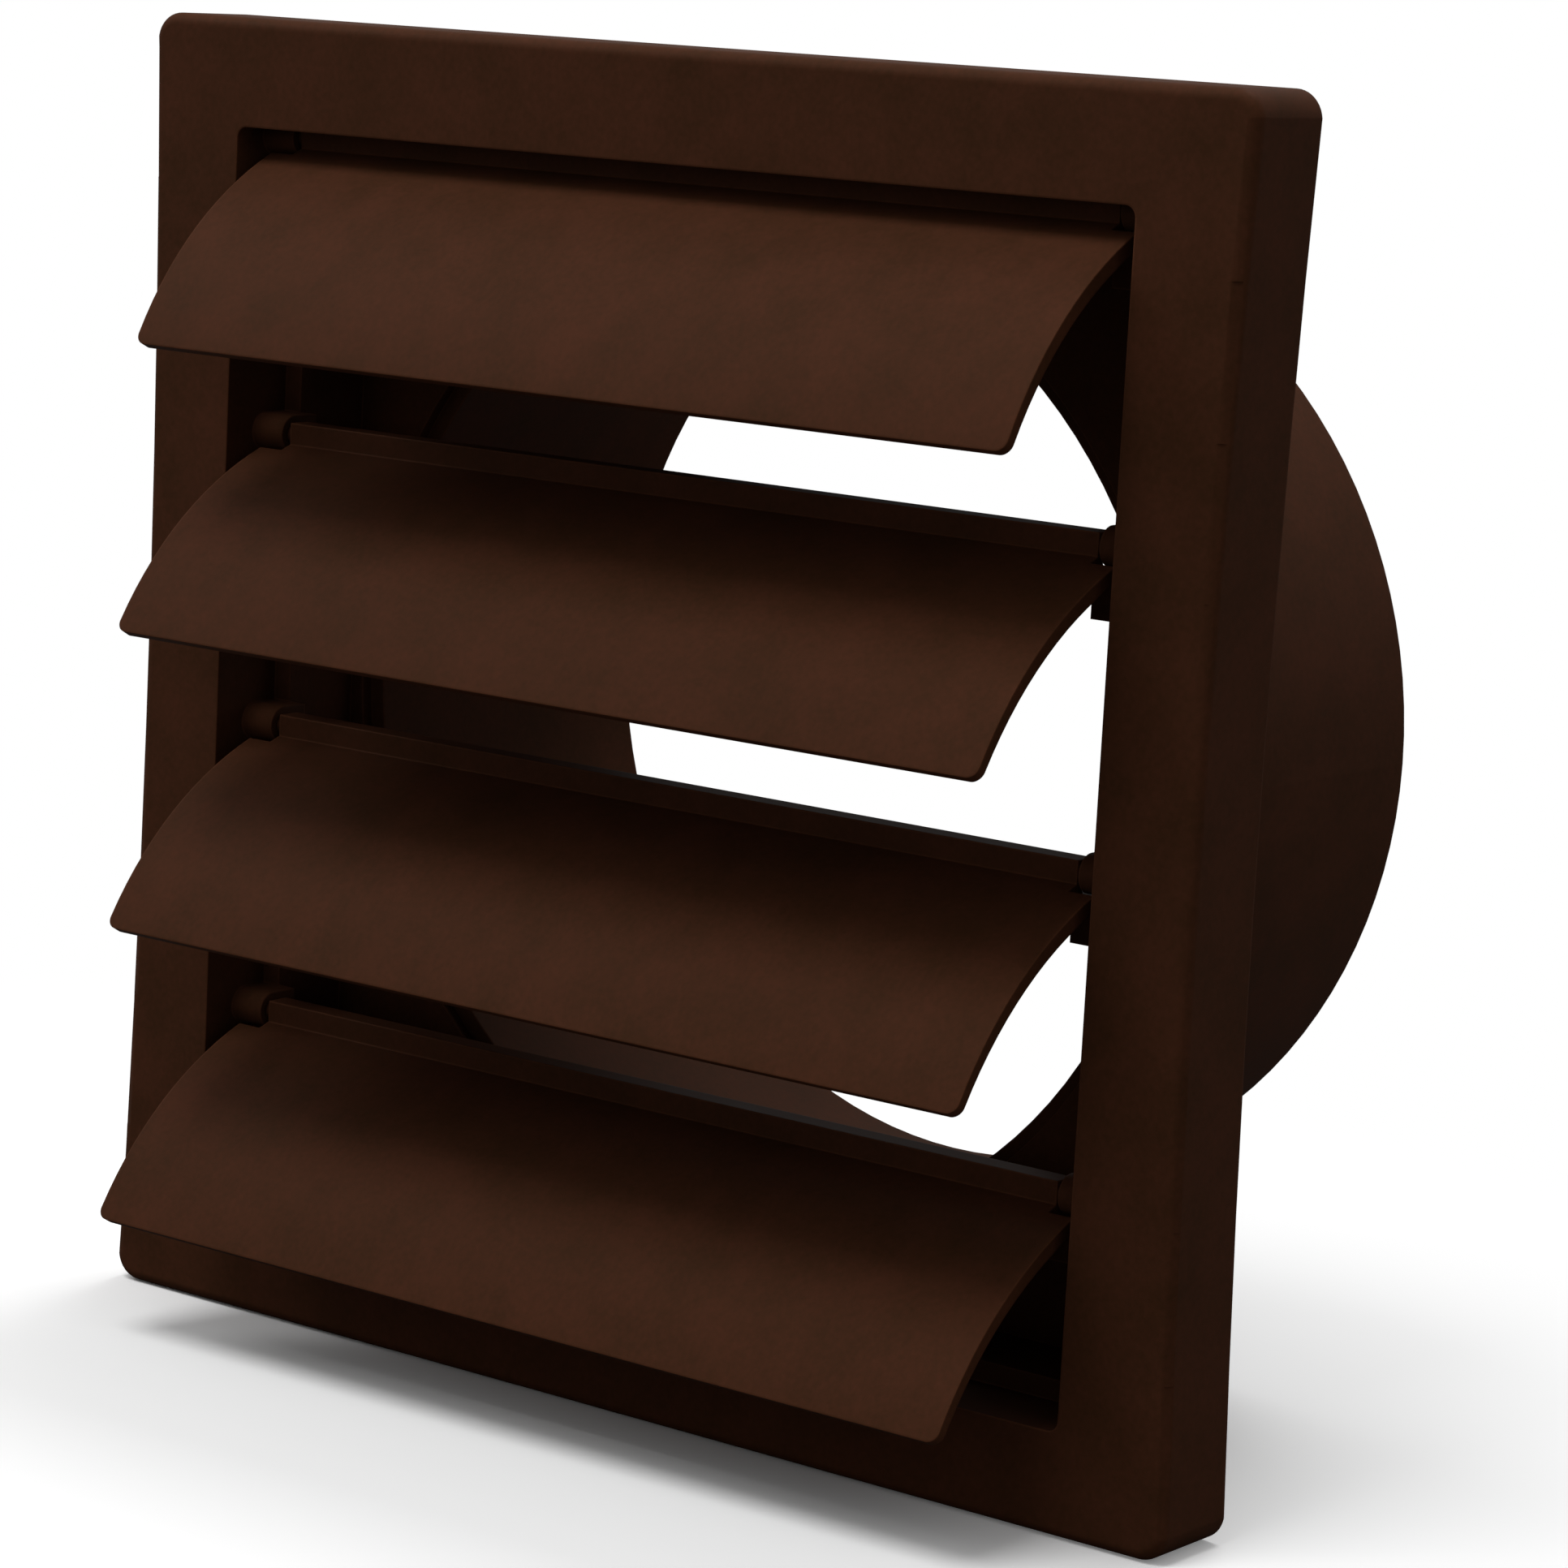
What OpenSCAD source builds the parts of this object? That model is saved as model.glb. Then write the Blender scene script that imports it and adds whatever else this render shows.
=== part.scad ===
// Louvred dryer vent cover for a round duct, moulded in brown plastic.
// Sizes are in mm, +Z is up and the front faces -Y. The origin lies on the pipe axis,
// in the plane where the skirt of the frame meets the wall.

/* [Frame] */
// Width and height of the square frame
frame_w = 140; // [136:1:150]
// Depth of the frame in front of the wall
frame_d = 11; // [10.5:0.5:14]
// How far the middle of the border lies above the pipe axis
frame_rise = 0.5; // [0:0.1:1]
// Radius of the four outer corners
corner_r = 3; // [2:0.5:5]
// Rounding of the front outer edge
edge_r = 1.2; // [0.6:0.2:1.6]
// How far the moulding has drawn in at the middle of its left and right sides
side_bow = 1.5; // [0.5:0.1:2]
// Thickness of the front border
face_t = 2.2; // [1.8:0.1:2.6]
// Thickness of the skirt and of the tub walls
wall_t = 1.8; // [1.4:0.1:2.2]

/* [Opening] */
// Width of the opening in the border
opening_w = 114.5; // [113:0.5:118]
// Height of the opening in the border
opening_h = 118; // [116:0.5:120]
// Radius of the corners of the opening
opening_r = 1.2; // [0.6:0.2:2]
// Width of the ledge around the back of the recess
ledge_w = 2.2; // [1.6:0.2:2.6]

/* [Tub and pipe] */
// Depth of the tub behind the wall plane, to the front of its back plate
tub_d = 8; // [6:0.5:12]
// Thickness of the back plate
plate_t = 3; // [2.6:0.1:3.6]
// Depth of the round step in the mouth of the pipe
step_d = 1.5; // [1:0.1:1.8]
// Outside diameter of the duct pipe
pipe_d = 107; // [100:0.5:108]
// Wall thickness of the duct pipe
pipe_t = 1.8; // [1.4:0.1:2.4]
// Length of the pipe, measured from the wall plane
pipe_len = 52; // [40:1:90]

/* [Flaps] */
// Thickness of a blade half way between hinge and tip
blade_t = 1.35; // [1.2:0.05:1.5]
// How far the inner curve is moved toward the tip, which thins the tip and thickens the root
blade_taper = 0.8; // [0:0.1:1]
// Radius of the curve of a blade
blade_r = 41; // [38:1:60]
// Angle of an open blade below level, measured from pivot to tip
open_angle = 40; // [36:0.5:50]
// Extra angle by which the top flap hangs lower
top_drop = 4; // [0:0.5:4]
// Gap between the end of a blade and the side of the opening
end_gap = 1.9; // [1:0.1:3]
// Width of a hinge bracket, measured in from the side of the opening
bracket_w = 4.3; // [3.8:0.1:5.5]
// Width of the wider leg below a bracket, measured in from the side of the opening
leg_w = 7.2; // [6:0.1:8]
// Diameter of the hinge pins
pin_d = 2.2; // [2:0.1:2.6]
// Radius of the rounded corners at the tip of a blade
tip_r = 1.2; // [0.6:0.2:2]

/* [Hidden] */
$fn = 96;
pin_gap = 0.08;                   // radial play of a pin in its bracket
pivot_y = -5;                     // hinge line, behind the border
pitch = (opening_h + 8.8) / 4;    // from one hinge line to the next
pivot_top = opening_h / 2 - 0.9;  // hinge line of the top flap
tip_reach = pitch - 0.8;          // from the hinge line to the tip of a blade
bracket_r = pin_d / 2 + 0.9;        // boss around the pin
leg_len = 7.5;                    // leg of the bracket below the hinge line
leg_front = -1.6;                 // front of the leg, measured forward of the hinge line
leg_top = 2.6;                    // the leg is wider from here down, below the hinge line
bar_half = opening_w / 2 - bracket_w - 0.6;   // half length of the hinge bar
blade_half = opening_w / 2 - end_gap;         // half width of a blade
notch_r = bracket_r + 1.1;        // blade cut away around the bracket boss
ledge_y = -2;                     // front of the ledge
head_h = 2;                       // recess carried up behind the top border
recess_top = opening_h / 2 + head_h;
bow_end = frame_w / 2 - corner_r + 1;
bow_r = (bow_end * bow_end + side_bow * side_bow) / (2 * side_bow);
bow_x = frame_w / 2 - side_bow + bow_r;
tub_x = opening_w / 2 - ledge_w;              // half width inside the tub
tub_bottom = -opening_h / 2 + ledge_w;
tub_top = recess_top - ledge_w;
mouth_r = min(opening_w, opening_h) / 2 - ledge_w - 1.6;
bore_r = pipe_d / 2 - pipe_t;
root_u = 0.6;                     // where the blade leaves the hinge bar
root_v = -0.8;
tip_u = tip_reach * cos(open_angle);
tip_v = -tip_reach * sin(open_angle);
chord = sqrt((tip_u - root_u) * (tip_u - root_u) + (tip_v - root_v) * (tip_v - root_v));
chord_dir = atan2(tip_v - root_v, tip_u - root_u);
arc_half = asin(chord / 2 / blade_r);
arc_deep = blade_r * cos(arc_half);
plastic = "#3a2119";

// draws an outline in x and z as a slab from y0 back to y1
module slab(y0, y1) {
  translate([0, y1, 0]) rotate([90, 0, 0]) linear_extrude(height = y1 - y0) children();
}

// draws a side view, forward and up from the hinge line, as a bar along x
module along_x(len) {
  rotate([0, 0, -90]) rotate([90, 0, 0]) linear_extrude(height = len, center = true) children();
}

// rectangle with round corners, given by its four sides
module round_rect(x0, x1, z0, z1, r) {
  translate([x0 + r, z0]) square([x1 - x0 - 2 * r, z1 - z0]);
  translate([x0, z0 + r]) square([x1 - x0, z1 - z0 - 2 * r]);
  for (x = [x0 + r, x1 - r])
    for (z = [z0 + r, z1 - r])
      translate([x, z]) circle(r = r, $fn = 48);
}

// section through the plate, rounded at its two front edges
module edge_view(half) {
  translate([-half, 0]) square([2 * half, frame_d - edge_r]);
  translate([-half + edge_r, 0]) square([2 * (half - edge_r), frame_d]);
  for (s = [-1, 1]) translate([s * (half - edge_r), frame_d - edge_r]) circle(r = edge_r, $fn = 48);
}

// outside of the frame: two crossing plates, and a turned post in each corner
module plate() {
  half = frame_w / 2;
  run = frame_w - 2 * corner_r;
  along_x(run) rotate(-90) edge_view(half);
  linear_extrude(height = run, center = true) mirror([0, 1]) edge_view(half);
  for (s = [-1, 1])
    for (t = [-1, 1])
      translate([s * (half - corner_r), 0, t * (half - corner_r)]) rotate([90, 0, 0])
        rotate_extrude($fn = 48) intersection() {
          edge_view(corner_r);
          square([corner_r, frame_d]);
        }
}

// ring that takes the drawn-in curve and its rounded edge out of one side
module bow_ring() {
  rotate([90, 0, 0]) rotate_extrude($fn = 720) difference() {
    translate([bow_r - 6, -1]) square([6 + edge_r, frame_d + 2]);
    translate([bow_r, -2]) square([edge_r + 1, frame_d - edge_r + 2]);
    translate([bow_r + edge_r, frame_d - edge_r]) circle(r = edge_r, $fn = 48);
  }
}

// hollow behind the border, between the skirt and the tub
module channel() {
  side = frame_w / 2 - wall_t;
  out_x = opening_w / 2 + wall_t;
  slab(-frame_d + face_t, 1) difference() {
    translate([0, frame_rise]) square([2 * side, 2 * side], center = true);
    for (s = [-1, 1])
      translate([s * bow_x, frame_rise]) circle(r = bow_r + wall_t, $fn = 720);
    translate([-out_x, -opening_h / 2 - wall_t])
      square([2 * out_x, recess_top + opening_h / 2 + 2 * wall_t]);
  }
}

// side view of a leg that stands on the ledge, from high down to leg_len below the hinge line
module leg_view(high) {
  translate([pivot_y - ledge_y - 0.3, -leg_len])
    square([ledge_y - pivot_y + leg_front + 0.3, leg_len + high]);
}

// side view of one hinge bracket: boss, foot on the ledge and leg below
module bracket_view() {
  circle(r = bracket_r, $fn = 48);
  translate([pivot_y - ledge_y - 0.3, -bracket_r]) square([ledge_y - pivot_y + 0.3, 2 * bracket_r]);
  leg_view(0);
}

module brackets() {
  for (k = [0:3])
    for (s = [-1, 1])
      translate([s * (opening_w / 2 + 0.5), pivot_y, pivot_top - k * pitch]) {
        translate([-s * (bracket_w + 0.5) / 2, 0, 0]) along_x(bracket_w + 0.5) bracket_view();
        translate([-s * (leg_w + 0.5) / 2, 0, 0]) along_x(leg_w + 0.5) leg_view(-leg_top);
      }
}

module pin_holes() {
  for (k = [0:3])
    translate([0, pivot_y, pivot_top - k * pitch]) rotate([0, 90, 0])
      cylinder(r = pin_d / 2 + pin_gap, h = opening_w, center = true, $fn = 48);
}

module frame() {
  back = tub_d + plate_t;
  color(plastic) difference() {
    union() {
      difference() {
        union() {
          difference() {
            translate([0, 0, frame_rise]) plate();
            for (s = [-1, 1]) translate([s * bow_x, 0, frame_rise]) bow_ring();
            channel();
          }
          slab(-frame_d + face_t - 0.2, ledge_y + wall_t)
            translate([-opening_w / 2 - wall_t, -opening_h / 2 - wall_t])
              square([opening_w + 2 * wall_t, recess_top + opening_h / 2 + 2 * wall_t]);
          slab(ledge_y, back)
            translate([-tub_x - wall_t, tub_bottom - wall_t])
              square([2 * (tub_x + wall_t), tub_top - tub_bottom + 2 * wall_t]);
          translate([0, back - 0.5, 0]) rotate([-90, 0, 0])
            cylinder(r = pipe_d / 2, h = pipe_len - back + 0.5, $fn = 192);
        }
        slab(-frame_d - 1, -frame_d + face_t + 0.5)
          round_rect(-opening_w / 2, opening_w / 2, -opening_h / 2, opening_h / 2, opening_r);
        slab(-frame_d + face_t, ledge_y)
          translate([-opening_w / 2, -opening_h / 2]) square([opening_w, recess_top + opening_h / 2]);
        slab(ledge_y - 0.5, tub_d)
          translate([-tub_x, tub_bottom]) square([2 * tub_x, tub_top - tub_bottom]);
        translate([0, tub_d - 0.5, 0]) rotate([-90, 0, 0])
          cylinder(r = mouth_r, h = step_d + 0.5, $fn = 192);
        translate([0, tub_d, 0]) rotate([-90, 0, 0]) cylinder(r = bore_r, h = pipe_len, $fn = 192);
      }
      brackets();
    }
    pin_holes();
  }
}

// side view of a blade: an arc from the hinge bar to the tip, bulging forward
module blade_view() {
  translate([root_u, root_v]) rotate(chord_dir) translate([chord / 2, -arc_deep]) difference() {
    circle(r = blade_r, $fn = 360);
    translate([blade_taper, 0]) circle(r = blade_r - blade_t, $fn = 360);
    rotate(90 - arc_half) translate([-2 * blade_r, -2 * blade_r]) square([4 * blade_r, 2 * blade_r]);
    rotate(90 + arc_half) translate([-2 * blade_r, 0]) square([4 * blade_r, 2 * blade_r]);
  }
}

// side view of the hinge bar: a round bar with four flats
module bar_view() {
  intersection() {
    circle(r = 1.9, $fn = 48);
    translate([-1.5, -1.5]) square([2.8, 2.8]);
  }
}

// takes the sharp corner off one end of a tip
module tip_cutter() {
  translate([blade_half, -tip_u, tip_v]) rotate([arc_half - chord_dir, 0, 0])
    linear_extrude(height = 6, center = true) difference() {
      translate([-tip_r, -1]) square([tip_r + 1, tip_r + 1]);
      translate([-tip_r, tip_r]) circle(r = tip_r, $fn = 48);
    }
}

// one flap at its open angle, with its hinge line on the x axis
module flap() {
  difference() {
    along_x(2 * blade_half) blade_view();
    for (m = [0, 1]) mirror([m, 0, 0]) {
      translate([bar_half, 0, 0]) rotate([0, 90, 0]) cylinder(r = notch_r, h = 10);
      tip_cutter();
    }
  }
  along_x(2 * bar_half) bar_view();
  for (m = [0, 1]) mirror([m, 0, 0])
    translate([bar_half - 1, 0, 0]) rotate([0, 90, 0])
      cylinder(r = pin_d / 2, h = opening_w / 2 - 0.3 - bar_half + 1, $fn = 48);
}

module place_flap(k, drop) {
  color(plastic) translate([0, pivot_y, pivot_top - k * pitch]) rotate([drop, 0, 0]) flap();
}

module flap_1() { place_flap(0, top_drop); }
module flap_2() { place_flap(1, 0); }
module flap_3() { place_flap(2, 0); }
module flap_4() { place_flap(3, 0); }

frame();
flap_1();
flap_2();
flap_3();
flap_4();
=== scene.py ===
"""Louvred dryer vent cover in brown moulded plastic: camera, plastic, frame, flaps, floor and light."""

import bpy
import numpy as np
from mathutils import Matrix, Vector


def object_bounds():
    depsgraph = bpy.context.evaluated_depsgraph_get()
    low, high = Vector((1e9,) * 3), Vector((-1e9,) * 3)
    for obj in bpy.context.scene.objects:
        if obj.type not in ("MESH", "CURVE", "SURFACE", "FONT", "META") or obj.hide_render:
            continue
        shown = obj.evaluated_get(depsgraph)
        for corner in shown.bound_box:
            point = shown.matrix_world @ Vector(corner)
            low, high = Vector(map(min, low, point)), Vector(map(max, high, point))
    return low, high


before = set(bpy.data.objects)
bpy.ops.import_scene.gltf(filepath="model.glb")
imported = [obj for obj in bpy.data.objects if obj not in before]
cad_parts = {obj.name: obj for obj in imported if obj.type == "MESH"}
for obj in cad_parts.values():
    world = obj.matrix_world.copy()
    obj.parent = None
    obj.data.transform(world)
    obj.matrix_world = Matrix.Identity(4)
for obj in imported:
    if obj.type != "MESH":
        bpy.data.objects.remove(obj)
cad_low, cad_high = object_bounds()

# Camera
# The cover is seen from its own right, a little above the middle, through a long lens.
# The angles and the distance come from the corners of the frame in the photograph.

AZIMUTH = np.radians(37.07)
ELEVATION = np.radians(9.436)
ROLL = np.radians(-3.103)
DISTANCE = 0.5135
TARGET = np.array([0.01175, 0.0, -0.00303])
FOCAL_PIXELS = 6218.3

toward = np.array([
    np.sin(AZIMUTH) * np.cos(ELEVATION),
    -np.cos(AZIMUTH) * np.cos(ELEVATION),
    np.sin(ELEVATION),
])
side = np.cross(-toward, (0, 0, 1))
side /= np.linalg.norm(side)
down = np.cross(-toward, side)
right = np.cos(ROLL) * side + np.sin(ROLL) * down
below = -np.sin(ROLL) * side + np.cos(ROLL) * down

camera_data = bpy.data.cameras.new("camera")
camera_data.sensor_fit = "HORIZONTAL"
camera_data.sensor_width = 36
camera_data.lens = FOCAL_PIXELS / 1932 * 36
camera_data.clip_start = 0.01
camera_data.clip_end = 20
camera = bpy.data.objects.new("camera", camera_data)
bpy.context.scene.collection.objects.link(camera)
camera.matrix_world = (
    Matrix.Translation(Vector(TARGET + DISTANCE * toward))
    @ Matrix(np.column_stack([right, -below, toward]).tolist()).to_4x4()
)
bpy.context.scene.camera = camera


# Brown plastic
# Frame and flaps are moulded in one dark chocolate plastic with a very fine, dull grain.
# Edges carry a painted highlight and hollows painted shade; it has faint swirls from the moulding.

class Maths:
    """A shader value that takes + - * / and adds the Math node for each of them."""

    tree = None

    def __init__(self, socket):
        self.socket = socket

    @classmethod
    def node(cls, kind, settings=None, **inputs):
        made = cls.tree.nodes.new(kind)
        for name, value in (settings or {}).items():
            if name == "stops":
                ramp = made.color_ramp.elements
                while len(ramp) < len(value):
                    ramp.new(0.5)
                for stop, (place, colour) in zip(ramp, value):
                    stop.position = place
                    stop.color = colour
            else:
                setattr(made, name, value)
        for name, value in inputs.items():
            key = int(name[1:]) if name[0] == "_" else name.replace("_", " ")
            if isinstance(value, Maths):
                cls.tree.links.new(value.socket, made.inputs[key])
            elif hasattr(value, "links"):
                cls.tree.links.new(value, made.inputs[key])
            else:
                made.inputs[key].default_value = value
        return made

    @classmethod
    def sum(cls, operation, a, b=0.0):
        return Maths(cls.node("ShaderNodeMath", {"operation": operation}, _0=a, _1=b).outputs[0])

    def __add__(self, other):
        return Maths.sum("ADD", self, other)

    __radd__ = __add__

    def __sub__(self, other):
        return Maths.sum("SUBTRACT", self, other)

    def __rsub__(self, other):
        return Maths.sum("SUBTRACT", other, self)

    def __mul__(self, other):
        return Maths.sum("MULTIPLY", self, other)

    __rmul__ = __mul__

    def __truediv__(self, other):
        return Maths.sum("DIVIDE", self, other)


def brown_plastic(name, brown, turn):
    """Base colour is the brown, mottled a little redder and greener by clouds and a fine speckle.
    It has a painted highlight along the edges, where a rounded normal turns away from the real one,
    and painted shade deep in the piece's own hollows. Roughness follows the same noises, and the bump
    is a fine grain plus a very shallow wave."""
    material = bpy.data.materials.new(name)
    material.use_nodes = True
    tree = material.node_tree
    Maths.tree = tree
    shader = tree.nodes["Principled BSDF"]
    place = Maths.node("ShaderNodeTexCoord").outputs["Object"]
    spot = Maths.node("ShaderNodeMapping", _0=place, Location=(turn, 0.3 * turn, -turn),
                      Rotation=(turn, 0, turn)).outputs[0]
    clouds = Maths(Maths.node("ShaderNodeTexNoise", Vector=spot, Scale=130.0, Detail=5.0,
                              Roughness=0.62).outputs[0])
    speck = Maths(Maths.node("ShaderNodeTexNoise", Vector=spot, Scale=1500.0, Detail=2.0).outputs[0])
    grain = Maths(Maths.node("ShaderNodeTexNoise", Vector=spot, Scale=2600.0, Detail=2.0,
                             Roughness=0.6).outputs[0])
    wave = Maths(Maths.node("ShaderNodeTexNoise", Vector=spot, Scale=40.0, Detail=1.0).outputs[0])
    # Edge mask from a rounded normal: it lays a painted highlight on the base colour and makes the edges
    # slightly smoother.
    rounded = Maths.node("ShaderNodeBevel", {"samples": 6}, Radius=0.00035).outputs[0]
    straight = Maths.node("ShaderNodeNewGeometry").outputs["Normal"]
    turned = Maths.node("ShaderNodeVectorMath", {"operation": "DOT_PRODUCT"},
                        _0=rounded, _1=straight).outputs["Value"]
    edge = Maths(Maths.node("ShaderNodeMapRange", {"interpolation_type": "SMOOTHSTEP"},
                            Value=turned, From_Min=0.99, From_Max=0.82).outputs[0])
    # Painted shade: the base colour is darkened down to half deep in the piece's own hollows, by ambient
    # occlusion.
    air = Maths.node("ShaderNodeAmbientOcclusion", {"samples": 6, "only_local": True},
                     Distance=0.012).outputs["AO"]
    painted_hollow_shade = Maths.node("ShaderNodeMapRange", {"interpolation_type": "SMOOTHSTEP"},
                       Value=air, From_Min=0.1, From_Max=0.8, To_Min=0.5, To_Max=1.0).outputs[0]
    tone = clouds * 0.62 + speck * 0.38
    green = tuple(k * c for k, c in zip((0.80, 0.87, 0.80), brown)) + (1,)
    red = tuple(k * c for k, c in zip((1.20, 1.14, 1.18), brown)) + (1,)
    # Pale brown for the painted highlight along the edges.
    edge_highlight_colour = tuple(2.2 * c for c in brown) + (1,)
    body = Maths.node("ShaderNodeValToRGB", {"stops": [(0.34, green), (0.66, red)]}, Fac=tone).outputs[0]
    highlighted_body = Maths.node("ShaderNodeMix", {"data_type": "RGBA"},
                        _0=edge * (clouds + 0.25), _6=body, _7=edge_highlight_colour).outputs[2]
    # The painted shade in the hollows scales the base colour.
    colour = Maths.node("ShaderNodeVectorMath", {"operation": "SCALE"}, _0=highlighted_body, Scale=painted_hollow_shade).outputs[0]
    tree.links.new(colour, shader.inputs["Base Color"])
    tree.links.new((0.46 + clouds * 0.12 + speck * 0.08 - edge * 0.06).socket, shader.inputs["Roughness"])
    bump = Maths.node("ShaderNodeBump", Height=grain * 0.3 + wave * 6.0, Normal=rounded,
                      Strength=0.35, Distance=0.00003).outputs[0]
    tree.links.new(bump, shader.inputs["Normal"])
    shader.inputs["IOR"].default_value = 1.45
    shader.inputs["Specular IOR Level"].default_value = 0.08
    shader.inputs["Specular Tint"].default_value = (1.0, 0.5, 0.32, 1)
    return material


# Frame
# One moulding: square border with a rounded edge, skirt, tub, hinge brackets and duct pipe.
# It is pressed to the wall round the duct, and the flaps snap into its brackets.


def even_shading(piece):
    """Shading normals weighted by the area of the faces, so that thin facets on a rounding don't show."""
    even = piece.modifiers.new("even_shading", "WEIGHTED_NORMAL")
    even.mode = "FACE_AREA"
    even.weight = 50
    even.keep_sharp = True


frame_plastic = brown_plastic("frame_plastic", (0.0745, 0.0275, 0.0132), 1.0)
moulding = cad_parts["frame"]
moulding.data.materials.clear()
moulding.data.materials.append(frame_plastic)
even_shading(moulding)

# Flaps
# Four curved blades, each moulded with its hinge bar and its two pins.
# They hang in the brackets and swing out in the airflow.

for number in (1, 2, 3, 4):
    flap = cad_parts[f"flap_{number}"]
    flap.data.materials.clear()
    flap.data.materials.append(brown_plastic(f"flap_plastic_{number}", (0.0745, 0.0275, 0.0132), 1.0 + number))
    even_shading(flap)

# Floor and light
# The cover stands on its bottom edge on a white sweep, under three soft boxes from above.
# The sweep shows white to the camera and lights the cover like a grey one, and keeps its shadow.


def sweep_paper(name):
    """Camera rays see white paper that turns into plain white away from the object.
    All other rays meet a duller paper, so little light comes back up from the floor."""
    material = bpy.data.materials.new(name)
    material.use_nodes = True
    tree = material.node_tree
    tree.nodes.clear()
    Maths.tree = tree
    place = Maths.node("ShaderNodeTexCoord").outputs["Object"]
    away = Maths(Maths.node("ShaderNodeVectorMath", {"operation": "DISTANCE"}, _0=place,
                            _1=(-0.03, -0.05, cad_low[2])).outputs["Value"])
    far = Maths.node("ShaderNodeMapRange", {"interpolation_type": "SMOOTHSTEP"},
                     Value=away, From_Min=0.07, From_Max=0.22).outputs[0]
    paper = Maths.node("ShaderNodeBsdfDiffuse", Color=(1.45, 1.45, 1.45, 1))
    plain = Maths.node("ShaderNodeEmission", Color=(1, 1, 1, 1), Strength=1.0)
    dull = Maths.node("ShaderNodeBsdfDiffuse", Color=(0.12, 0.12, 0.12, 1))
    seen = Maths.node("ShaderNodeMixShader", Fac=far, _1=paper.outputs[0], _2=plain.outputs[0])
    camera_ray = Maths.node("ShaderNodeLightPath").outputs["Is Camera Ray"]
    both = Maths.node("ShaderNodeMixShader", Fac=camera_ray, _1=dull.outputs[0], _2=seen.outputs[0])
    finish = Maths.node("ShaderNodeOutputMaterial", Surface=both.outputs[0])
    finish.is_active_output = True
    return material


def flat_sheet(name, half, height):
    """A square in x and y at one height."""
    corners = np.array([
        [-half, -half, height],
        [half, -half, height],
        [half, half, height],
        [-half, half, height],
    ])
    mesh = bpy.data.meshes.new(name)
    mesh.from_pydata(corners.tolist(), [], [(0, 1, 2, 3)])
    made = bpy.data.objects.new(name, mesh)
    bpy.context.scene.collection.objects.link(made)
    made.data.materials.append(sweep_paper(name))
    return made


flat_sheet("floor", 6.0, cad_low[2] - 0.0001)

world = bpy.data.worlds.new("room")
bpy.context.scene.world = world
world.use_nodes = True
Maths.tree = world.node_tree
rays = Maths.node("ShaderNodeLightPath").outputs
lamp_room = Maths.node("ShaderNodeBackground", Color=(1, 1, 1, 1), Strength=0.31)
seen_room = Maths.node("ShaderNodeBackground", Color=(1, 1, 1, 1), Strength=1.0)
either = Maths.node("ShaderNodeMixShader", Fac=rays["Is Camera Ray"],
                    _1=lamp_room.outputs[0], _2=seen_room.outputs[0])
world.node_tree.links.new(either.outputs[0], world.node_tree.nodes["World Output"].inputs["Surface"])


def soft_lamp(name, place, aim, size, power):
    """A square area lamp at a place, turned to face a point."""
    data = bpy.data.lights.new(name, "AREA")
    data.shape = "SQUARE"
    data.size = size
    data.energy = power
    lamp = bpy.data.objects.new(name, data)
    bpy.context.scene.collection.objects.link(lamp)
    lamp.location = place
    lamp.rotation_euler = (Vector(aim) - Vector(place)).to_track_quat("-Z", "Y").to_euler()
    return lamp


soft_lamp("key", (-0.15, -0.50, 1.19), (0, 0, 0), 0.5, 5.2)
soft_lamp("back", (0, 0.45, 1.15), (0, 0, 0), 0.5, 3.8)
soft_lamp("left", (-0.9, -0.5, 0.8), (0, 0, 0), 0.5, 2.2)

bpy.context.scene.view_settings.view_transform = "Standard"

bpy.context.view_layer.update()
